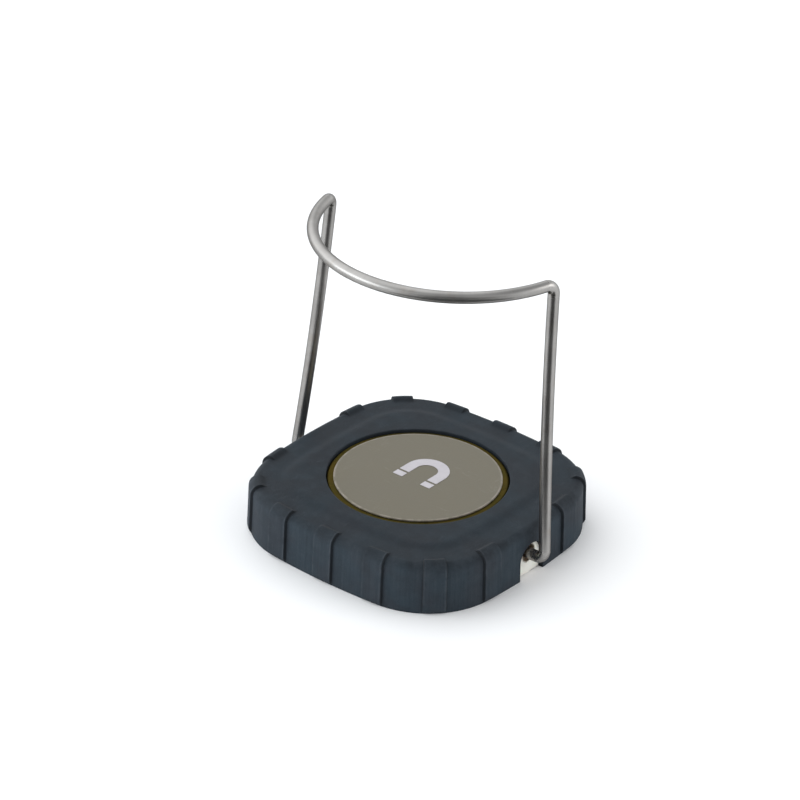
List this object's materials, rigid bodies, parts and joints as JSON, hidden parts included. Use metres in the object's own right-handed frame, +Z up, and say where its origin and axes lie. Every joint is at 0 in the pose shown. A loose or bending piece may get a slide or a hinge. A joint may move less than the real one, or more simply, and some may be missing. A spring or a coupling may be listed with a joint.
{
  "type": "magnetic welding torch holder",
  "caption": "Square rubber-booted pot magnet with a hinged bent-wire cradle that holds a welding torch or hand tool off the work.",
  "frame": {"origin": "middle of the face that grips the workpiece, under the centre of the boot", "axes": "+Z up from the workpiece, X along the cradle's hinge, -Y the side over which the loop reaches"},
  "size_m": [0.114, 0.102, 0.1085],
  "materials": {
    "boot_rubber": "matte moulded rubber",
    "yellow_zinc": "yellow passivated zinc",
    "face_enamel": "satin beige enamel",
    "mark_ink": "satin printed ink",
    "ferrite": "ground ferrite",
    "pole_steel": "ground steel",
    "spacer_brass": "turned brass",
    "potting_resin": "black casting resin",
    "zinc_plate": "bright zinc",
    "screw_steel": "bright zinc",
    "block_nylon": "natural nylon",
    "washer_brass": "rolled brass",
    "clip_steel": "blued spring steel",
    "wire_stainless": "satin drawn stainless"
  },
  "bodies": {
    "base": {"rubber_boot": "boot_rubber", "magnet_cup": "yellow_zinc", "ring_magnet": "ferrite", "core_spacer": "spacer_brass", "potting_ring": "potting_resin", "pole_core": "pole_steel", "core_screw": "screw_steel", "face_plate": "face_enamel", "face_mark": "mark_ink", "chassis_plate": "zinc_plate", "corner_posts": "zinc_plate", "bottom_cover": "zinc_plate", "flange_screws": "screw_steel", "block_screws": "screw_steel", "cover_screws": "screw_steel", "pivot_block_right": "block_nylon", "pivot_block_left": "block_nylon"},
    "cradle": {"wire_cradle": "wire_stainless", "friction_washer_right": "washer_brass", "friction_washer_left": "washer_brass", "pin_clip_right": "clip_steel", "pin_clip_left": "clip_steel"}
  },
  "joints": [
    {"name": "cradle_fold", "type": "hinge", "parent": "base", "child": "cradle", "pos_m": [0, 0, 0.008], "axis": [1, 0, 0], "range_deg": [-86, 74]}
  ]
}
